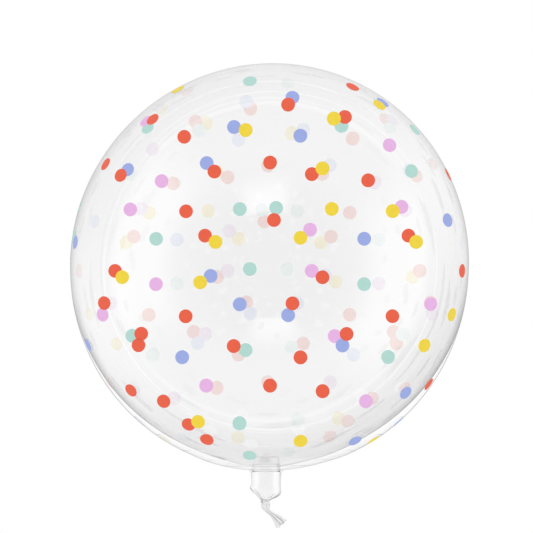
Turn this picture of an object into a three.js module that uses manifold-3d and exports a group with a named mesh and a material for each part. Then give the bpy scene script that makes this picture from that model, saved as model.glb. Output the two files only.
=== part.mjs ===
// A clear bubble balloon: one blown film ball whose neck is gathered, knotted and trimmed.
//
// Millimetres, +Z up. The balloon lies on its side: its axis runs along Y, with the crown
// towards +Y and the tied neck towards -Y. The origin is the middle of the small flat that it
// rests on. The film is one sealed piece, so the whole balloon is one closed solid.

import * as THREE from 'three';
import { mergeVertices } from 'three/addons/utils/BufferGeometryUtils.js';
import Module from 'manifold-3d';

const wasm = await Module();
wasm.setup();

// The ball
const BALL_RADIUS = 200;
const CROWN_SWELL = 4.8;                          // the crown stands out of round by this much
const CROWN_LEAN = THREE.MathUtils.degToRad(27);  // from the axis, towards +X
const NECK_SWELL = 6;                             // the film draws out towards the neck
const NECK_SWELL_POWER = 1.5;
const REST_CUT = 1.6;                             // depth of the flat that it rests on
const AXIS_HEIGHT = BALL_RADIUS - REST_CUT;
const BALL_SIDES = 72;
const BALL_RINGS = 34;

// The neck, gathers and tail share one skin, ruled through these cross-sections. x and y place
// the middle of a section, turn tips it in the plane of the bed, width and depth are its half
// sizes along and across that plane, and pleat is how deep its folds are cut.
const NECK_RADIUS = 14.8;
const NECK_SHIFT = -2.9;
const SECTIONS = [
  { x: NECK_SHIFT, y: -190, turn: 0, width: 19, depth: 19, pleat: 0 },
  { x: NECK_SHIFT, y: -204, turn: 0, width: 18, depth: 18, pleat: 0 },
  { x: NECK_SHIFT, y: -208, turn: 0, width: 16.3, depth: 16.3, pleat: 0 },
  { x: NECK_SHIFT, y: -212, turn: 0, width: NECK_RADIUS, depth: NECK_RADIUS, pleat: 0 },
  { x: NECK_SHIFT, y: -219, turn: -4, width: NECK_RADIUS, depth: NECK_RADIUS, pleat: 0 },
  { x: -3.5, y: -225.6, turn: -10, width: 15.6, depth: 14, pleat: 0.02 },
  { x: -3.6, y: -229.8, turn: -10, width: 11.6, depth: 10, pleat: 0.1 },
  { x: -3.5, y: -233.6, turn: -8, width: 6, depth: 5.6, pleat: 0.2 },
  { x: -3.4, y: -236.6, turn: -4, width: 3.3, depth: 3.6, pleat: 0.16 },
  { x: -3.7, y: -241.6, turn: 6, width: 4.5, depth: 4.6, pleat: 0.1 },
  { x: -1.4, y: -246.4, turn: 32, width: 2.7, depth: 3.2, pleat: 0.18 },
  { x: 4.6, y: -251.4, turn: 44, width: 2.7, depth: 2.6, pleat: 0.24 },
  { x: 9, y: -255.4, turn: 46, width: 3.7, depth: 2.5, pleat: 0.28 },
  { x: 13, y: -259.2, turn: 46, width: 4.7, depth: 2.4, pleat: 0.32 },
];
const PLEATS = 7;
const PLEAT_TWIST = THREE.MathUtils.degToRad(150);  // turn of the pleats over the whole skin
const SKIN_SIDES = 35;
const SKIN_RINGS = 42;
const TAIL_RAGGEDNESS = 1.1;                        // unevenness of the cut end

// The turn of film that closes the knot
const WRAP_RADIUS = 3.9;
const WRAP_THICKNESS = 1.5;
const WRAP_PLACE = { x: -3.6, y: -237.9 };
const WRAP_TILT = THREE.MathUtils.degToRad(-16);
const WRAP_STEPS = 24;
const WRAP_SIDES = 8;

const film = new THREE.MeshStandardMaterial({
  color: 0xf2f4f5,
  roughness: 0.06,
  metalness: 0,
  transparent: true,
  opacity: 0.4,
});

function toSolid(geometry) {
  const bare = geometry.clone();
  bare.deleteAttribute('normal');
  bare.deleteAttribute('uv');
  const merged = mergeVertices(bare, 1e-4);
  return new wasm.Manifold(new wasm.Mesh({
    numProp: 3,
    vertProperties: new Float32Array(merged.attributes.position.array),
    triVerts: new Uint32Array(merged.index.array),
  }));
}

function toGeometry(solid) {
  const mesh = solid.getMesh();
  const geometry = new THREE.BufferGeometry();
  geometry.setAttribute('position', new THREE.BufferAttribute(mesh.vertProperties, 3));
  geometry.setIndex(new THREE.BufferAttribute(mesh.triVerts, 1));
  geometry.computeVertexNormals();
  return geometry;
}

// Distance of the film from the middle of the ball, in the direction of a unit vector
function filmRadius(direction) {
  const towardsCrown = direction.x * Math.sin(CROWN_LEAN) + direction.y * Math.cos(CROWN_LEAN);
  const crown = CROWN_SWELL * Math.max(0, towardsCrown) ** 2;
  const neck = NECK_SWELL * Math.max(0, -direction.y) ** NECK_SWELL_POWER;
  return BALL_RADIUS + crown + neck;
}

function makeBall() {
  const profile = [];
  for (let i = 0; i <= BALL_RINGS; i++) {
    const angle = Math.PI * i / BALL_RINGS;
    const onAxis = i === 0 || i === BALL_RINGS;
    profile.push(new THREE.Vector2(onAxis ? 0 : Math.sin(angle), -Math.cos(angle)));
  }
  const geometry = new THREE.LatheGeometry(profile, BALL_SIDES);
  const position = geometry.attributes.position;
  const point = new THREE.Vector3();
  for (let i = 0; i < position.count; i++) {
    point.fromBufferAttribute(position, i).normalize();
    point.multiplyScalar(filmRadius(point));
    position.setXYZ(i, point.x, point.y, point.z);
  }
  return toSolid(geometry);
}

// A smooth curve through one pair or triple of the sections' values
function sectionCurve(toPoint) {
  return new THREE.CatmullRomCurve3(SECTIONS.map(toPoint), false, 'catmullrom', 0.5);
}

function makeNeckAndTail() {
  const places = sectionCurve((s) => new THREE.Vector3(s.x, s.y, s.turn));
  const sizes = sectionCurve((s) => new THREE.Vector3(s.width, s.depth, s.pleat));
  const vertices = [];
  const triangles = [];
  for (let ring = 0; ring <= SKIN_RINGS; ring++) {
    const along = ring / SKIN_RINGS;
    const place = places.getPoint(along);
    const size = sizes.getPoint(along);
    const turn = THREE.MathUtils.degToRad(place.z);
    const ragged = ring === SKIN_RINGS ? TAIL_RAGGEDNESS : 0;
    for (let side = 0; side < SKIN_SIDES; side++) {
      const angle = 2 * Math.PI * side / SKIN_SIDES;
      const fold = Math.cos(PLEATS * angle + PLEAT_TWIST * along);
      const across = size.x * (1 + size.z * fold) * Math.cos(angle);
      const up = size.y * (1 + size.z * fold) * Math.sin(angle);
      const ahead = ragged * Math.sin(3 * angle + fold);
      vertices.push(
        place.x + across * Math.cos(turn) + ahead * Math.sin(turn),
        place.y + across * Math.sin(turn) - ahead * Math.cos(turn),
        up,
      );
    }
  }
  for (let ring = 0; ring < SKIN_RINGS; ring++) {
    for (let side = 0; side < SKIN_SIDES; side++) {
      const next = (side + 1) % SKIN_SIDES;
      const a = ring * SKIN_SIDES + side;
      const b = ring * SKIN_SIDES + next;
      triangles.push(a, b, a + SKIN_SIDES);
      triangles.push(b, b + SKIN_SIDES, a + SKIN_SIDES);
    }
  }
  closeEnd(vertices, triangles, 0, false);
  closeEnd(vertices, triangles, SKIN_RINGS, true);
  const geometry = new THREE.BufferGeometry();
  geometry.setAttribute('position', new THREE.Float32BufferAttribute(vertices, 3));
  geometry.setIndex(triangles);
  return toSolid(geometry);
}

// Closes one end of the skin with a fan about the middle of its ring
function closeEnd(vertices, triangles, ring, isTail) {
  const section = isTail ? SECTIONS[SECTIONS.length - 1] : SECTIONS[0];
  const middle = vertices.length / 3;
  vertices.push(section.x, section.y, 0);
  for (let side = 0; side < SKIN_SIDES; side++) {
    const a = ring * SKIN_SIDES + side;
    const b = ring * SKIN_SIDES + (side + 1) % SKIN_SIDES;
    triangles.push(middle, isTail ? a : b, isTail ? b : a);
  }
}

function makeWrap() {
  const geometry = new THREE.TorusGeometry(WRAP_RADIUS, WRAP_THICKNESS, WRAP_SIDES, WRAP_STEPS);
  geometry.rotateX(Math.PI / 2);
  geometry.rotateZ(WRAP_TILT);
  geometry.translate(WRAP_PLACE.x, WRAP_PLACE.y, 0);
  return toSolid(geometry);
}

function makeBed() {
  const depth = BALL_RADIUS;
  const geometry = new THREE.BoxGeometry(4 * BALL_RADIUS, 4 * BALL_RADIUS, depth);
  geometry.translate(0, 0, -depth / 2);
  return toSolid(geometry);
}

const whole = makeBall()
  .add(makeNeckAndTail())
  .add(makeWrap())
  .translate([0, 0, AXIS_HEIGHT])
  .subtract(makeBed());

const balloon = new THREE.Mesh(toGeometry(whole), film);
balloon.name = 'balloon';

const model = new THREE.Group();
model.add(balloon);

export default model;
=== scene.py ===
"""Looks of a clear bubble balloon that lies on its side: film, knot, printed spots and studio.

Everything is in metres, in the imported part's frame: the axis runs along Y, the crown is towards
+Y, the tied neck towards -Y, and the balloon rests on z = 0.
"""

import math

import bpy
import numpy as np
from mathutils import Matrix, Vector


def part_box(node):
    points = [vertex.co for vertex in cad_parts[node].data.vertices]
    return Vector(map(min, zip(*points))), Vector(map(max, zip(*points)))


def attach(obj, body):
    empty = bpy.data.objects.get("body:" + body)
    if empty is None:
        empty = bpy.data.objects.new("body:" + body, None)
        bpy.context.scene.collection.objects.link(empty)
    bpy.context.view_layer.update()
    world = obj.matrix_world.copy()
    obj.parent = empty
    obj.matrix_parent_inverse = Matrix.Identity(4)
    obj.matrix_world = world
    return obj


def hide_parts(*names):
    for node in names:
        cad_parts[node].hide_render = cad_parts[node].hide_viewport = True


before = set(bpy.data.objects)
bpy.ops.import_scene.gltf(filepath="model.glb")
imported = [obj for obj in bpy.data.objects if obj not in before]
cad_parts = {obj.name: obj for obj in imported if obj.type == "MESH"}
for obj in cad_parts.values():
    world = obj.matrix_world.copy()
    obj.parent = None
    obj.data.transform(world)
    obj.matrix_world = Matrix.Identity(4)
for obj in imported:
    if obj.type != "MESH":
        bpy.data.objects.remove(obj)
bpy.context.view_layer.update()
low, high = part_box("balloon")
MM = 0.001

# The ball, as in the part's source
REST_CUT = 1.6 * MM
BALL_RADIUS = (high.z - low.z + REST_CUT) / 2
AXIS_HEIGHT = BALL_RADIUS - REST_CUT
CROWN_SWELL = 4.8 * MM
CROWN_LEAN = math.radians(27)
NECK_SWELL = 6 * MM
NECK_SWELL_POWER = 1.5
NECK_SHIFT = -2.9 * MM
NECK_SHIFT_REACH = (-190 * MM, -200 * MM)   # places along the axis between which it builds up

# The film. Below the ball's middle it lies double: the ball runs on round to its own foot, and an
# outer skirt, drawn down to the neck's collar, stands clear of it. Angles are from the neck.
FILM_THICKNESS = 0.5 * MM
FILM_INSET = 0.05 * MM               # of the ball's film, under the skirt's top edge
LIFT = 0.25 * MM                     # the ink of the lowest spots lies in this gap
SKIRT_TOP = math.radians(82)
SKIRT_SWELL_FULL = math.radians(60)
SKIRT_GAP = 1.9 * MM                 # widest, beyond the swell that the ball doesn't share
SKIRT_GAP_LEAN = 1.6 * MM            # more of it on one side
SKIRT_GAP_RISE = (math.radians(72), math.radians(30))
SKIRT_GAP_FALL = (math.radians(8), math.radians(30))
FOOT_PINCH = 2.2 * MM                # by which the two layers close up again at the neck
FOOT_PINCH_FALL = (0.22, 0.05)       # angles from the neck, in radians
SKIRT_THICKNESS = 0.3 * MM
SKIRT_EDGE = 0.02 * MM               # its thickness at its top edge
SKIRT_EDGE_SLOPE = 0.4               # thickness gained for each step that the layers part
# The skirt mirrors more towards the neck: degrees from the neck below which each index of
# refraction holds
SKIRT_INDEX = ((90, 1.01), (42, 1.02), (34, 1.035), (26, 1.05), (19, 1.07), (13, 1.09))
SKIRT_RINGS = 90
SKIRT_FOOT_RADIUS = 17.2 * MM        # where it turns down into its hem round the neck
SKIRT_HEM = ((-207.4, 15.75), (-209, 15.25), (-211, 15.05), (-213, 15.0))   # y, radius
HEM_THICKNESS = 0.15 * MM
BALL_FOOT_RADIUS = 14.6 * MM
SLEEVE_WALL = 0.35 * MM
NECK_WALL = 0.8 * MM
NECK_WALL_GROWTH = (0.15, 0.4)       # shares of the neck between which its wall thickens
KNOTTED_RINGS = 6                    # last rings of the neck, which are tied shut
SIDES = 208
BALL_RINGS = 120
NECK_RINGS = 84
TAIL_RINGS = 60
SHARP_ANGLE = math.radians(50)

# Cross-sections down the neck and the tied tail, in millimetres: middle x and y, tip in plan in
# degrees, half width, half depth, and how deep the pleats are cut
NECK_SECTIONS = (
    (-2.9, -202.6, 0, 14.0, 14.0, 0),
    (-2.9, -204.4, 0, 13.8, 13.8, 0),
    (-2.9, -205.6, 0, 14.9, 14.9, 0),
    (-2.9, -206.5, 0, 14.1, 14.1, 0),
    (-2.9, -207.6, 0, 14.8, 14.8, 0),
    (-2.9, -213.6, -2, 14.8, 14.8, 0),
    (-2.9, -219, -4, 14.8, 14.8, 0),
    (-3.5, -225.6, -10, 15.6, 14, 0.02),
    (-3.6, -229.8, -10, 11.6, 10, 0.1),
    (-3.5, -233.6, -8, 6, 5.6, 0.2),
    (-3.4, -236.6, -4, 3.1, 3.4, 0.16),
)
TAIL_SECTIONS = (
    (-3.4, -235.4, -4, 2.9, 3.1, 0.06),
    (-3.6, -238, 0, 3.8, 4, 0.06),
    (-3.6, -241.8, 10, 4.5, 4.6, 0.08),
    (-1.3, -246.2, 36, 2.5, 2.9, 0.16),
    (3.2, -249.8, 42, 2.3, 2.5, 0.28),
    (7.8, -253.6, 46, 3.4, 2.5, 0.38),
    (12.9, -259, 46, 5.1, 2.4, 0.46),
)
NECK_PLEATS = (7, 0.0)               # number of pleats and of finer ones between them
TAIL_PLEATS = (7, 0.55)
PLEAT_TWIST = math.radians(150)
TAIL_RAGGEDNESS = 1.2 * MM
TAIL_PAINTED_SHADE = (0.35, 1.0)             # painted shade of its folds by the knot, and where it fans out
TAIL_FAN = (0.3, 0.6)                # shares of the tail between which that changes
# painted shade at the middle of its cut end
TAIL_END_PAINTED_SHADE = 0.6
WRAP_RADIUS = 3.9 * MM
WRAP_THICKNESS = 1.3 * MM
WRAP_PLACE = (-3.6 * MM, -237.9 * MM)
WRAP_TILT = math.radians(-16)
WRAP_RIPPLE = 0.18                   # unevenness of the turn of film, as a share of its thickness
WRAP_STEPS = 72
WRAP_SIDES = 20

# The printed spots
SPOT_RADIUS = 6.85 * MM
SPOT_STRETCH = 1.7                   # most that a spot is drawn out, down the ball's flanks
SPOT_SIDES = 30
SPOT_RINGS = 4
INK_THICKNESS = 0.03 * MM
INK_STEP = 0.03 * MM
INK_LIFT = 0.06 * MM
INK_UNEVENNESS = 0.05                # share by which its darkest places are darker
UNDERSIDE_UNEVENNESS = 0.02
INK_PAINTED_REFLECTION = (0.66, 0.66, 0.66)    # painted reflection: the underside's colour where the film mirrors it, a flat grey

# Sizes of the noise in the materials, as repeats to a metre
INK_COVER_GRAIN = 260
INK_SHEEN_GRAIN = 1500
INK_BUMP_GRAIN = 3000
GATHER_PAINTED_SHADE_GRAIN = 420
GATHER_BUMP_GRAIN = 900
# The gathered film's milky colour, and the grey of the painted shade in its folds
GATHER_PALE = (0.94, 0.94, 0.94)
GATHER_PAINTED_SHADE = (0.34, 0.34, 0.34)

# The studio, in angles from straight up: brightness as the film mirrors it, then its lamps
STUDIO_PROFILE = (
    (0, 0.10), (30, 0.10), (44, 0.19), (54, 0.29), (64, 0.37), (75, 0.43), (86, 0.49), (97, 0.63),
    (108, 0.78), (121, 0.88), (132, 0.93), (145, 0.93), (153, 0.87), (158, 0.80), (166, 0.66),
    (180, 0.50),
)
SIDE_BOX_HEIGHT = (50, 72, 96, 112)
SIDE_BOX_WIDTH = (20, 54)
SIDE_BOX_TURN = 10
SIDE_BOX_GLOW = 0.45
TOP_BOX_HEIGHT = (29, 32, 36, 58)
TOP_BOX_WIDTH = (10, 28)
TOP_BOX_LEAN = 0.08
TOP_BOX_GLOW = 1.4
# Dark flags: azimuth of the middle, cosines from it where a flag ends and is full, and depth. The
# heights are angles from straight up.
WIDE_FLAG = (-65, -0.2, 1.05, 0.65)
WIDE_FLAG_HEIGHT = (70, 120, 130, 162)
LOW_FLAGS = ((-42, 0.72, 0.96, 0.34), (-134, 0.72, 0.96, 0.24))
LOW_FLAG_HEIGHT = (144, 160)
# Glows low down past the neck and past the crown, given likewise
LOW_GLOWS = ((-90, 0.6, 0.98, 0.35), (90, 0.1, 0.9, 0.25))
LOW_GLOW_HEIGHT = (150, 166)
# Strip lamps past the crown, and past the flanks: azimuth, angle from straight up, half width and
# how much they glow
STRIPS = (
    (90, 105.5, 3.0, 0.35),
    (84, 117, 1.0, 0.35),
    (100, 130, 1.2, 0.3),
    (-42, 113, 0.9, 0.5),
    (-135, 112, 0.9, 0.5),
)
STRIP_SPREAD = (0.5, 0.8)            # cosines from its azimuth where a strip ends and is full
FLOOR_SIZE = 30
FLOOR_DROP = 0.5 * MM
VIEW_WIDTH = 0.5357                  # of the floor across the picture
VIEW_DISTANCE = 12
VIEW_MIDDLE = (-0.0025, -0.0005)


def smooth(value, start, end):
    """0 before start, 1 after end, and a soft step between; start may be above end."""
    share = np.clip((value - start) / (end - start), 0, 1)
    return share * share * (3 - 2 * share)


def film_radius(direction):
    """Distance of the film's outside from the ball's middle, along unit vectors."""
    x, y = direction[..., 0], direction[..., 1]
    towards_crown = x * math.sin(CROWN_LEAN) + y * math.cos(CROWN_LEAN)
    crown = CROWN_SWELL * np.maximum(0, towards_crown) ** 2
    neck = NECK_SWELL * np.maximum(0, -y) ** NECK_SWELL_POWER
    return BALL_RADIUS + crown + neck


def skirt_gap(direction):
    """How far the ball's own film lies inside the skirt's outside."""
    from_neck = np.arccos(np.clip(-direction[..., 1], -1, 1))
    swell = NECK_SWELL * np.maximum(0, -direction[..., 1]) ** NECK_SWELL_POWER
    gap = FILM_INSET + swell * smooth(from_neck, SKIRT_TOP, SKIRT_SWELL_FULL)
    belt = smooth(from_neck, *SKIRT_GAP_RISE) * smooth(from_neck, *SKIRT_GAP_FALL)
    pinch = FOOT_PINCH * smooth(from_neck, *FOOT_PINCH_FALL)
    return gap + belt * (SKIRT_GAP + SKIRT_GAP_LEAN * direction[..., 0]) - pinch


def ball_points(direction, inset):
    """Points of the film along unit vectors, moved in by inset and flattened where they rest."""
    points = direction * (film_radius(direction) - inset)[..., None]
    points[..., 2] += AXIS_HEIGHT
    points[..., 2] = np.maximum(points[..., 2], LIFT + inset)
    return points


def ring_directions(angles):
    """Unit vectors in rings round the Y axis, at angles from the crown."""
    turn = np.linspace(0, 2 * math.pi, SIDES, endpoint=False)
    from_crown = np.asarray(angles)[:, None]
    across = np.sin(from_crown) * np.cos(turn)
    up = np.sin(from_crown) * np.sin(turn)
    return np.stack((across, np.cos(from_crown) + 0 * turn, up), axis=-1)


def section_at(sections, share):
    """Values at a share of the way down the sections, on a Catmull-Rom curve through them."""
    rows = np.array(sections, float)
    rows = np.vstack((2 * rows[0] - rows[1], rows, 2 * rows[-1] - rows[-2]))
    place = share * (len(sections) - 1)
    i = min(int(place), len(sections) - 2)
    t = place - i
    p0, p1, p2, p3 = rows[i : i + 4]
    v0, v1 = (p2 - p0) / 2, (p3 - p1) / 2
    return (2 * (p1 - p2) + v0 + v1) * t**3 + (3 * (p2 - p1) - 2 * v0 - v1) * t**2 + v0 * t + p1


def pleat_fold(share, pleats):
    """Height of the pleats round a section, -1 to 1."""
    count, finer = pleats
    turn = np.linspace(0, 2 * math.pi, SIDES, endpoint=False)
    fold = np.cos(count * turn + PLEAT_TWIST * share)
    return (fold + finer * np.cos((2 * count - 1) * turn - 2 * PLEAT_TWIST * share)) / (1 + finer)


def section_ring(sections, share, pleats, wall=0.0, ragged=0.0):
    """Ring at a share of the way down the sections, moved in by wall, with a ragged edge."""
    x, y, tip, width, depth, pleat = section_at(sections, share)
    turn = np.linspace(0, 2 * math.pi, SIDES, endpoint=False)
    fold = pleat_fold(share, pleats)
    across = max(width * MM - wall, 0) * (1 + pleat * fold) * np.cos(turn)
    up = max(depth * MM - wall, 0) * (1 + pleat * fold) * np.sin(turn)
    ahead = ragged * np.sin(3 * turn + 2 * fold)
    tip = math.radians(tip)
    plan_x = x * MM + across * math.cos(tip) + ahead * math.sin(tip)
    plan_y = y * MM + across * math.sin(tip) - ahead * math.cos(tip)
    return np.stack((plan_x, plan_y, AXIS_HEIGHT + up), axis=-1)


def shift_to_neck(rings):
    """Moves the ball's last rings across, so that they meet the neck, which sits off the middle."""
    rings[..., 0] += NECK_SHIFT * smooth(rings[..., 1], *NECK_SHIFT_REACH)
    return rings


def ring_faces(count, closed=False):
    """Faces between rings, and from the last ring back to the first if closed."""
    faces = []
    for r in range(count if closed else count - 1):
        below = (r + 1) % count
        for s in range(SIDES):
            n = (s + 1) % SIDES
            faces.append((r * SIDES + s, r * SIDES + n, below * SIDES + n, below * SIDES + s))
    return faces


def skin(rings, first, last, inside=False):
    """Vertices and faces of a closed skin through rings, with a point at each end."""
    count = len(rings)
    vertices = [tuple(p) for ring in rings for p in ring] + [tuple(first), tuple(last)]
    faces = ring_faces(count)
    top, bottom, end = count * SIDES, count * SIDES + 1, (count - 1) * SIDES
    for s in range(SIDES):
        n = (s + 1) % SIDES
        faces.append((top, n, s))
        faces.append((bottom, end + s, end + n))
    if inside:
        faces = [tuple(reversed(f)) for f in faces]
    return vertices, faces


def new_piece(name, parts):
    """One mesh object from several (vertices, faces) parts."""
    vertices, faces = [], []
    for part_vertices, part_faces in parts:
        base = len(vertices)
        vertices += part_vertices
        faces += [tuple(base + i for i in f) for f in part_faces]
    mesh = bpy.data.meshes.new(name)
    mesh.from_pydata(vertices, [], faces)
    mesh.validate()
    mesh.shade_smooth()
    mesh.set_sharp_from_angle(angle=SHARP_ANGLE)
    piece = bpy.data.objects.new(name, mesh)
    bpy.context.scene.collection.objects.link(piece)
    return piece


def add_painted_shade(piece, values):
    """Stores painted shade for each vertex, 0 to 1, deepest in the folds, for the material to read as
    grey.
    """
    attribute = piece.data.attributes.new("fold", "FLOAT", "POINT")
    attribute.data.foreach_set("value", np.asarray(values, dtype=np.float32))


def ball_rings(radius_at_end, inset):
    """Rings of the ball's own film, moved in by inset, from the crown to a ring of that radius."""
    last = math.pi - math.asin(radius_at_end / (BALL_RADIUS + MM))
    directions = ring_directions(np.linspace(0, last, BALL_RINGS + 1)[1:])
    return list(shift_to_neck(ball_points(directions, skirt_gap(directions) + inset)))


def make_film():
    """The ball and its neck down to the knot: an outer and an inner skin."""
    crown = ball_points(np.array([[0.0, 1.0, 0.0]]), np.array([FILM_INSET]))[0]
    shares = np.linspace(0, 1, NECK_RINGS)
    rings = ball_rings(BALL_FOOT_RADIUS, 0.0)
    rings += [section_ring(NECK_SECTIONS, share, NECK_PLEATS) for share in shares]
    outer = skin(rings, crown, rings[-1].mean(axis=0))

    rings = ball_rings(BALL_FOOT_RADIUS - SLEEVE_WALL, FILM_THICKNESS)
    for share in shares[:-KNOTTED_RINGS]:
        wall = SLEEVE_WALL + (NECK_WALL - SLEEVE_WALL) * float(smooth(share, *NECK_WALL_GROWTH))
        rings.append(section_ring(NECK_SECTIONS, share, NECK_PLEATS, wall=wall))
    inner = skin(rings, crown - np.array((0, FILM_THICKNESS, 0)), rings[-1].mean(axis=0), inside=True)
    return new_piece("balloon_film", (outer, inner))


def hem_rings(wall):
    """Rings of the skirt's hem on the neck, moved in by wall."""
    turn = np.linspace(0, 2 * math.pi, SIDES, endpoint=False)
    rings = []
    for y, radius in SKIRT_HEM:
        reach = radius * MM - wall
        ring = (NECK_SHIFT + reach * np.cos(turn), y * MM + 0 * turn, AXIS_HEIGHT + reach * np.sin(turn))
        rings.append(np.stack(ring, axis=-1))
    return rings


def make_skirt():
    """The outer layer of film, from just below the ball's middle down to its hem on the neck."""
    last = math.pi - math.asin(SKIRT_FOOT_RADIUS / (BALL_RADIUS + NECK_SWELL))
    directions = ring_directions(np.linspace(math.pi - SKIRT_TOP, last, SKIRT_RINGS))
    parting = skirt_gap(directions) - FILM_INSET
    thickness = np.minimum(SKIRT_THICKNESS, SKIRT_EDGE + SKIRT_EDGE_SLOPE * parting)
    outside = shift_to_neck(ball_points(directions, np.zeros_like(thickness)))
    inside = shift_to_neck(ball_points(directions, thickness))
    rings = list(outside) + hem_rings(0.0) + hem_rings(HEM_THICKNESS)[::-1] + list(inside[::-1])
    vertices = [tuple(p) for ring in rings for p in ring]
    piece = new_piece("film_skirt", [(vertices, ring_faces(len(rings), closed=True))])
    for i, (_, index) in enumerate(SKIRT_INDEX):
        piece.data.materials.append(clear_material("clear_skirt_%d" % (i + 1), index))
    limits = [math.radians(limit) for limit, _ in SKIRT_INDEX[1:]]
    middle = np.array((0, 0, AXIS_HEIGHT))
    for polygon in piece.data.polygons:
        way = np.array(polygon.center) - middle
        from_neck = math.acos(-way[1] / np.linalg.norm(way))
        polygon.material_index = sum(from_neck < limit for limit in limits)
    return piece


def make_tail():
    """The gathered film below the knot, pleated out to its cut end, with painted shade in its pleats."""
    shares = np.linspace(0, 1, TAIL_RINGS)
    rings = []
    painted_shade = []
    for share in shares:
        rings.append(section_ring(TAIL_SECTIONS, share, TAIL_PLEATS, ragged=TAIL_RAGGEDNESS * share**4))
        # painted shade: darkest in the valleys of the pleats, more where the tail fans out
        fold = pleat_fold(share, TAIL_PLEATS)
        deepest = TAIL_PAINTED_SHADE[0] + (TAIL_PAINTED_SHADE[1] - TAIL_PAINTED_SHADE[0]) * float(smooth(share, *TAIL_FAN))
        painted_shade.append(smooth(-fold, 0.0, 0.8) * deepest)
    vertices, faces = skin(rings, rings[0].mean(axis=0), rings[-1].mean(axis=0))
    piece = new_piece("gathered_tail", [(vertices, faces)])
    add_painted_shade(piece, list(np.concatenate(painted_shade)) + [0.0, TAIL_END_PAINTED_SHADE])
    return piece


def make_knot_turn():
    """The turn of film that closes the neck, with painted shade along its left side and in a spot on its
    right.
    """
    steps, sides = WRAP_STEPS, WRAP_SIDES
    vertices, faces, painted_shade = [], [], []
    for i in range(steps):
        a = 2 * math.pi * i / steps
        for j in range(sides):
            b = 2 * math.pi * j / sides
            thick = WRAP_THICKNESS * (1 + WRAP_RIPPLE * math.cos(3 * b + 2 * a))
            reach = WRAP_RADIUS + thick * math.cos(b)
            across, along, up = reach * math.cos(a), thick * math.sin(b), reach * math.sin(a)
            vertices.append((
                WRAP_PLACE[0] + across * math.cos(WRAP_TILT) - along * math.sin(WRAP_TILT),
                WRAP_PLACE[1] + across * math.sin(WRAP_TILT) + along * math.cos(WRAP_TILT),
                AXIS_HEIGHT + up,
            ))
            # painted shade: dark over the turn's left side and in a small spot on its right
            left_painted_shade = float(smooth(-math.cos(a), 0.15, 0.9))
            right_painted_shade = 0.8 * float(smooth(math.cos(a), 0.75, 1))
            painted_shade.append(left_painted_shade + right_painted_shade)
            near, far = i * sides, (i + 1) % steps * sides
            k = (j + 1) % sides
            faces.append((near + j, near + k, far + k, far + j))
    piece = new_piece("knot_turn", [(vertices, faces)])
    add_painted_shade(piece, painted_shade)
    return piece


# Materials
def new_material(name):
    """A material, its node tree and its Principled shader."""
    material = bpy.data.materials.new(name)
    material.use_nodes = True
    tree = material.node_tree
    return material, tree, tree.nodes["Principled BSDF"]


def set_plain(shader, **values):
    """Sets the shader's own sockets, which are named with _ for a space."""
    for key, value in values.items():
        shader.inputs[key.replace("_", " ")].default_value = value


def noise_node(tree, scale, detail=3.0):
    """Noise over the object's own coordinates, about 0.5 in the middle."""
    coordinate = tree.nodes.new("ShaderNodeTexCoord")
    noise = tree.nodes.new("ShaderNodeTexNoise")
    noise.inputs["Scale"].default_value = scale
    noise.inputs["Detail"].default_value = detail
    tree.links.new(coordinate.outputs["Object"], noise.inputs["Vector"])
    return noise.outputs["Fac"]


def mix_colours(tree, factor, first, second):
    """From first, at factor 0, to second, each a colour or a socket."""
    mix = tree.nodes.new("ShaderNodeMix")
    mix.data_type = "RGBA"
    tree.links.new(factor, mix.inputs["Factor"])
    for socket, value in ((mix.inputs["A"], first), (mix.inputs["B"], second)):
        if isinstance(value, tuple):
            socket.default_value = (*value, 1)
        else:
            tree.links.new(value, socket)
    return mix.outputs["Result"]


def map_range(tree, value, start, end, low_value=0.0, high_value=1.0):
    """A soft step from low_value at start to high_value at end; start may be above end."""
    node = tree.nodes.new("ShaderNodeMapRange")
    node.interpolation_type = "SMOOTHSTEP"
    tree.links.new(value, node.inputs["Value"])
    node.inputs["From Min"].default_value = start
    node.inputs["From Max"].default_value = end
    node.inputs["To Min"].default_value = low_value
    node.inputs["To Max"].default_value = high_value
    return node.outputs["Result"]


def clear_material(name, ior):
    """Clear film: see-through by plain values."""
    material, _, shader = new_material(name)
    set_plain(shader, Base_Color=(1, 1, 1, 1), Roughness=0.0, IOR=ior, Transmission_Weight=1.0)
    return material


def gathered_material():
    """Film bunched so tightly that it turns milky, with painted shade, grey, in its folds."""
    material, tree, shader = new_material("gathered_film")
    # painted shade: the fold attribute, broken up by noise, mixes the milky colour towards grey
    fold = tree.nodes.new("ShaderNodeAttribute")
    fold.attribute_name = "fold"
    uneven = map_range(tree, noise_node(tree, GATHER_PAINTED_SHADE_GRAIN), 0.35, 0.65, 0.5, 1.0)
    depth = tree.nodes.new("ShaderNodeMath")
    depth.operation = "MULTIPLY"
    tree.links.new(fold.outputs["Fac"], depth.inputs[0])
    tree.links.new(uneven, depth.inputs[1])
    colour = mix_colours(tree, depth.outputs[0], GATHER_PALE, GATHER_PAINTED_SHADE)
    tree.links.new(colour, shader.inputs["Base Color"])
    bump = tree.nodes.new("ShaderNodeBump")
    bump.inputs["Strength"].default_value = 0.25
    bump.inputs["Distance"].default_value = 0.3 * MM
    tree.links.new(noise_node(tree, GATHER_BUMP_GRAIN), bump.inputs["Height"])
    tree.links.new(bump.outputs["Normal"], shader.inputs["Normal"])
    set_plain(shader, Roughness=0.3, IOR=1.5, Alpha=0.82)
    return material


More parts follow.
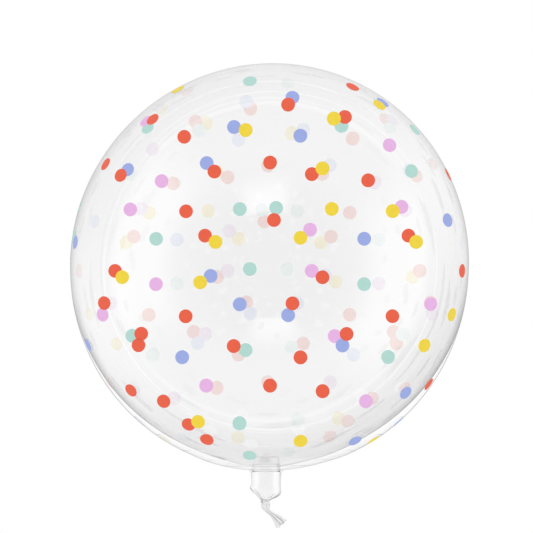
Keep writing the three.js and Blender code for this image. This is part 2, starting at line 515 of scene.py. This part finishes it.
def ink_material(name, colour, unevenness, painted_reflection=None):
    """Printed ink: a little uneven in colour and sheen, with a painted reflection in the given grey where
    the film mirrors it.
    """
    material, tree, shader = new_material(name)
    cover = map_range(tree, noise_node(tree, INK_COVER_GRAIN), 0.3, 0.7)
    deep = tuple(c * (1 - unevenness) for c in colour)
    painted = mix_colours(tree, cover, deep, colour)
    if painted_reflection:
        # painted reflection: rays that the film has mirrored see the flat grey instead of the ink
        path = tree.nodes.new("ShaderNodeLightPath")
        painted = mix_colours(tree, path.outputs["Glossy Depth"], painted, painted_reflection)
    tree.links.new(painted, shader.inputs["Base Color"])
    sheen = map_range(tree, noise_node(tree, INK_SHEEN_GRAIN, 1.0), 0.3, 0.7, 0.5, 0.65)
    tree.links.new(sheen, shader.inputs["Roughness"])
    bump = tree.nodes.new("ShaderNodeBump")
    bump.inputs["Strength"].default_value = 0.05
    bump.inputs["Distance"].default_value = 0.02 * MM
    tree.links.new(noise_node(tree, INK_BUMP_GRAIN, 1.0), bump.inputs["Height"])
    tree.links.new(bump.outputs["Normal"], shader.inputs["Normal"])
    set_plain(shader, Specular_IOR_Level=0.1)
    return material


# The film and the knot
def place_film(piece, material=None, clear=True):
    """Clear film doesn't hold back light: the studio shines through it on to the ink."""
    if material:
        piece.data.materials.append(material)
    piece.visible_shadow = not clear
    piece.visible_diffuse = not clear
    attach(piece, "root")
    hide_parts("balloon")


gathered = gathered_material()
place_film(make_film(), clear_material("clear_film", 1.5))
place_film(make_skirt())
place_film(make_tail(), gathered, clear=False)
place_film(make_knot_turn(), gathered, clear=False)


# The print is one repeat of clusters, laid over the film in steps. The inks change from repeat to
# repeat. Distances are in millimetres over the film, from the middle of its top: level across, and
# along from neck to crown. It is the same when the ball is turned half round.
PRINT_START = (73, -73)
PRINT_STEP = (217, 232)
REPEATS = ((-2, 0), (-1, 0), (0, 0), (1, 0), (-1, 1), (0, 1), (-2, -1), (-1, -1), (0, -1))
CLUSTER_REACH = {1: 0, 2: 6.3, 3: 7.4}     # from its middle to its spots', by how many there are
# Each cluster: across, along, turn of its first spot in degrees, and its inks in each repeat
CLUSTERS = (
    (0, 0, 40, "- RMR RLB - RLM RYM - - -"),
    (55, -20, 0, "- B M - R - - - -"),
    (115, -10, 160, "B. RM Y. - BY .M - - -"),
    (175, -20, 0, "- R - - B - - - -"),
    (65, 25, 200, "- R. R. - - YB - - -"),
    (115, 35, 0, "- B L - - - - - -"),
    (165, 30, 250, "LR BR Y. - RB - - - -"),
    (25, 55, 0, "- L M - Y R - - -"),
    (80, 60, 210, "- YB - - - - - - -"),
    (125, 70, 0, "- M - - M - - M -"),
    (-25, 65, 330, "- YR RL .R - - - - -"),
    (25, 100, 0, "- M B - - - - - B"),
    (85, 100, 150, "MB RY RY - - - - R. -"),
    (180, 105, 220, "- YL - - - - Y. Y. -"),
    (-10, 130, 0, "- L Y - - - - - -"),
    (150, 125, 260, "- RM B. - - - - - -"),
    (65, 130, 200, ".M R. YL - - - - RY -"),
    (115, 130, 0, "- M - - - - - M B"),
    (30, 160, 0, "- L R - - - - R L"),
    (85, 175, 130, "- BR .M - - - - L. .B"),
    (145, 180, 0, "R R - - - - - R R"),
    (-25, 170, 210, "- RB RY R. - - - .R .R"),
    (60, 200, 0, "- - L - - - - - -"),
)
# Ink: its slot, its colour from outside and, through the film, from inside
INKS = {
    "M": ("ink_mint", (0.465, 0.725, 0.665), (0.92, 0.98, 0.97)),
    "L": ("ink_lilac", (0.83, 0.48, 0.805), (0.96, 0.90, 0.97)),
    "B": ("ink_blue", (0.35, 0.43, 0.80), (0.89, 0.92, 1.00)),
    "R": ("ink_coral", (0.855, 0.133, 0.072), (0.97, 0.79, 0.76)),
    "Y": ("ink_yellow", (0.905, 0.69, 0.059), (1.00, 0.955, 0.78)),
}


def direction_at(across, along):
    """Unit vector from the ball's middle to a place on the film, by distances over the film."""
    lift = along * MM / BALL_RADIUS
    turn = across * MM / (BALL_RADIUS * math.cos(lift))
    return np.array((math.cos(lift) * math.sin(turn), math.sin(lift), math.cos(lift) * math.cos(turn)))


def spot_places(ink):
    """(across, along) of each spot of one ink, on the upper side."""
    for across, along, turn, words in CLUSTERS:
        for (column, row), inks in zip(REPEATS, words.split()):
            reach = CLUSTER_REACH[len(inks)]
            for i, letter in enumerate(inks):
                if letter != ink:
                    continue
                angle = math.radians(turn) + 2 * math.pi * i / len(inks)
                yield (
                    PRINT_START[0] + column * PRINT_STEP[0] + across + reach * math.cos(angle),
                    PRINT_START[1] + row * PRINT_STEP[1] + along + reach * math.sin(angle),
                )


def spot_frames(ink):
    """(direction, level tangent, downward tangent) for each spot of one ink, on both sides."""
    for across, along in spot_places(ink):
        d = direction_at(across, along)
        for half in (1, -1):
            middle = d * (half, 1, half)
            level = np.cross((0.0, 0.0, 1.0), middle)
            level /= np.linalg.norm(level)
            yield middle, level, np.cross(middle, level) * min(1 / abs(middle[2]), SPOT_STRETCH)


def spot_points(middle, level, down, lift):
    """A disc's points on the film, lifted off it."""
    directions = [middle]
    for ring in range(1, SPOT_RINGS + 1):
        reach = SPOT_RADIUS * ring / SPOT_RINGS / BALL_RADIUS
        for s in range(SPOT_SIDES):
            a = 2 * math.pi * s / SPOT_SIDES
            directions.append(middle + (level * math.cos(a) + down * math.sin(a)) * math.tan(reach))
    directions = np.array(directions)
    directions /= np.linalg.norm(directions, axis=1)[:, None]
    placed = ball_points(directions, np.zeros(len(directions)))
    out = directions.copy()
    out[placed[:, 2] <= LIFT + 1e-9] = (0, 0, -1)
    return [tuple(p) for p in placed + out * lift]


def disc_faces(base, turned):
    """Faces of one disc, whose points start at base, turned over for its underside."""
    faces = []
    for s in range(SPOT_SIDES):
        n = (s + 1) % SPOT_SIDES
        faces.append((base, base + 1 + s, base + 1 + n))
        for ring in range(SPOT_RINGS - 1):
            a = base + 1 + ring * SPOT_SIDES
            b = a + SPOT_SIDES
            faces.append((a + s, b + s, b + n, a + n))
    return [f[::-1] for f in faces] if turned else faces


def make_spots(ink, lift):
    """All the spots of one ink, as thin plates with a paler face towards the film."""
    slot, colour, back = INKS[ink]
    vertices, faces, back_faces = [], [], []
    per = 1 + SPOT_RINGS * SPOT_SIDES
    for middle, level, down in spot_frames(ink):
        base = len(vertices)
        vertices += spot_points(middle, level, down, lift)
        vertices += spot_points(middle, level, down, lift - INK_THICKNESS)
        faces += disc_faces(base, False)
        back_faces += disc_faces(base + per, True)
        rim = base + 1 + (SPOT_RINGS - 1) * SPOT_SIDES
        for s in range(SPOT_SIDES):
            n = (s + 1) % SPOT_SIDES
            faces.append((rim + s, rim + per + s, rim + per + n, rim + n))
    piece = new_piece(slot.replace("ink", "spots"), [(vertices, faces + back_faces)])
    piece.data.materials.append(ink_material(slot, colour, INK_UNEVENNESS))
    underside = ink_material(slot + "_underside", back, UNDERSIDE_UNEVENNESS, INK_PAINTED_REFLECTION)
    piece.data.materials.append(underside)
    for polygon in piece.data.polygons[len(faces):]:
        polygon.material_index = 1
    piece.visible_shadow = False
    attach(piece, "root")


for layer, letter in enumerate("MLBRY"):
    make_spots(letter, INK_LIFT + INK_STEP * layer)


# Floor, studio and camera
def make_floor():
    """A plain white floor, which the film neither mirrors nor bends."""
    mesh = bpy.data.meshes.new("floor")
    s = FLOOR_SIZE
    mesh.from_pydata([(-s, -s, 0), (s, -s, 0), (s, s, 0), (-s, s, 0)], [], [(0, 1, 2, 3)])
    floor = bpy.data.objects.new("floor", mesh)
    floor.location.z = -FLOOR_DROP
    bpy.context.scene.collection.objects.link(floor)
    material = bpy.data.materials.new("floor")
    material.use_nodes = True
    nodes = material.node_tree.nodes
    nodes.remove(nodes["Principled BSDF"])
    glow = nodes.new("ShaderNodeEmission")
    glow.inputs["Color"].default_value = (1, 1, 1, 1)
    glow.inputs["Strength"].default_value = 1.0
    material.node_tree.links.new(glow.outputs[0], nodes["Material Output"].inputs["Surface"])
    mesh.materials.append(material)
    floor.visible_glossy = False
    floor.visible_transmission = False


def make_studio():
    """White all round, and as the film mirrors it: dark overhead, with lamps and flags.

    The world is plain white to what looks straight at it, and the pattern shows in reflections.
    """
    world = bpy.data.worlds.new("studio")
    world.use_nodes = True
    tree = world.node_tree
    tree.nodes.clear()

    def calculate(kind, *values):
        node = tree.nodes.new("ShaderNodeMath")
        node.operation = kind
        for socket, value in zip(node.inputs, values):
            if isinstance(value, (int, float)):
                socket.default_value = value
            else:
                tree.links.new(value, socket)
        return node.outputs[0]

    def step(value, start, end):
        return map_range(tree, value, start, end)

    def between(value, *corners):
        """1 between the inner two of four angles, in degrees, and 0 outside the outer two."""
        a, b, c, e = (math.radians(angle) for angle in corners)
        return calculate("MULTIPLY", step(value, a, b), step(value, e, c))

    def within(value, width):
        """1 within the first of two angles, in degrees, and 0 past the second."""
        full, end = (math.radians(angle) for angle in width)
        return step(value, end, full)

    def turned(share_of_x, share_of_y):
        across = calculate("MULTIPLY", x, share_of_x)
        return calculate("ADD", across, calculate("MULTIPLY", y, share_of_y))

    coordinate = tree.nodes.new("ShaderNodeTexCoord")
    split = tree.nodes.new("ShaderNodeSeparateXYZ")
    tree.links.new(coordinate.outputs["Generated"], split.inputs[0])
    x, y, z = split.outputs
    polar = calculate("ARCCOSINE", z)

    profile = tree.nodes.new("ShaderNodeFloatCurve")
    curve = profile.mapping.curves[0]
    while len(curve.points) < len(STUDIO_PROFILE):
        curve.points.new(0.5, 0.5)
    for point, (angle, value) in zip(curve.points, STUDIO_PROFILE):
        point.location = (angle / 180, value)
    profile.mapping.update()
    tree.links.new(calculate("DIVIDE", polar, math.pi), profile.inputs["Value"])

    # tall soft boxes at either side
    tilt = math.radians(SIDE_BOX_TURN)
    along = turned(math.cos(tilt), -math.sin(tilt))
    cross = turned(math.sin(tilt), math.cos(tilt))
    azimuth = calculate("ARCTAN2", calculate("ABSOLUTE", cross), calculate("ABSOLUTE", along))
    side = between(polar, *SIDE_BOX_HEIGHT)
    side = calculate("MULTIPLY", side, within(azimuth, SIDE_BOX_WIDTH))

    # a box overhead, towards the crown
    leaning = calculate("MULTIPLY_ADD", y, TOP_BOX_LEAN, x)
    azimuth = calculate("ABSOLUTE", calculate("ARCTAN2", leaning, y))
    top = between(polar, *TOP_BOX_HEIGHT)
    top = calculate("MULTIPLY", top, within(azimuth, TOP_BOX_WIDTH))

    # dark flags below the horizon: a wide one past the neck, and two lower ones beside it
    level = calculate("SQRT", calculate("SUBTRACT", 1.001, calculate("MULTIPLY", z, z)))  # never 0

    def flag(middle, end, full, depth):
        turn = math.radians(middle)
        towards = turned(math.cos(turn), math.sin(turn))
        return calculate("MULTIPLY", step(calculate("DIVIDE", towards, level), end, full), depth)

    dark = calculate("MULTIPLY", flag(*WIDE_FLAG), between(polar, *WIDE_FLAG_HEIGHT))
    foot = step(polar, *(math.radians(angle) for angle in LOW_GLOW_HEIGHT))
    for glow in LOW_GLOWS:
        dark = calculate("SUBTRACT", dark, calculate("MULTIPLY", flag(*glow), foot))
    low = step(polar, *(math.radians(angle) for angle in LOW_FLAG_HEIGHT))
    for low_flag in LOW_FLAGS:
        dark = calculate("MULTIPLY_ADD", flag(*low_flag), low, dark)

    pattern = calculate("MULTIPLY_ADD", side, SIDE_BOX_GLOW, profile.outputs[0])
    pattern = calculate("MULTIPLY_ADD", top, TOP_BOX_GLOW, pattern)
    pattern = calculate("MULTIPLY", pattern, calculate("SUBTRACT", 1.0, dark))
    for middle, height, reach, glow in STRIPS:
        strip = between(polar, height - reach, height - reach / 3, height + reach / 3, height + reach)
        pattern = calculate("MULTIPLY_ADD", strip, flag(middle, *STRIP_SPREAD, glow), pattern)

    path = tree.nodes.new("ShaderNodeLightPath")
    strength = tree.nodes.new("ShaderNodeMix")
    tree.links.new(calculate("GREATER_THAN", path.outputs["Glossy Depth"], 0.5), strength.inputs["Factor"])
    strength.inputs["A"].default_value = 1.0
    tree.links.new(pattern, strength.inputs["B"])
    background = tree.nodes.new("ShaderNodeBackground")
    background.inputs["Color"].default_value = (1, 1, 1, 1)
    tree.links.new(strength.outputs["Result"], background.inputs["Strength"])
    output = tree.nodes.new("ShaderNodeOutputWorld")
    tree.links.new(background.outputs[0], output.inputs["Surface"])
    bpy.context.scene.world = world


def make_camera():
    """Looks straight down on the balloon, from far enough that its outline isn't narrowed."""
    data = bpy.data.cameras.new("camera")
    data.sensor_width = 36
    data.clip_end = 100
    data.lens = data.sensor_width * VIEW_DISTANCE / VIEW_WIDTH
    camera = bpy.data.objects.new("camera", data)
    camera.location = (VIEW_MIDDLE[0], VIEW_MIDDLE[1], AXIS_HEIGHT + VIEW_DISTANCE)
    bpy.context.scene.collection.objects.link(camera)
    bpy.context.scene.camera = camera


make_floor()
make_studio()
make_camera()
scene = bpy.context.scene
scene.view_settings.view_transform = "Standard"
scene.cycles.max_bounces = 32
scene.cycles.transmission_bounces = 32
scene.cycles.glossy_bounces = 16
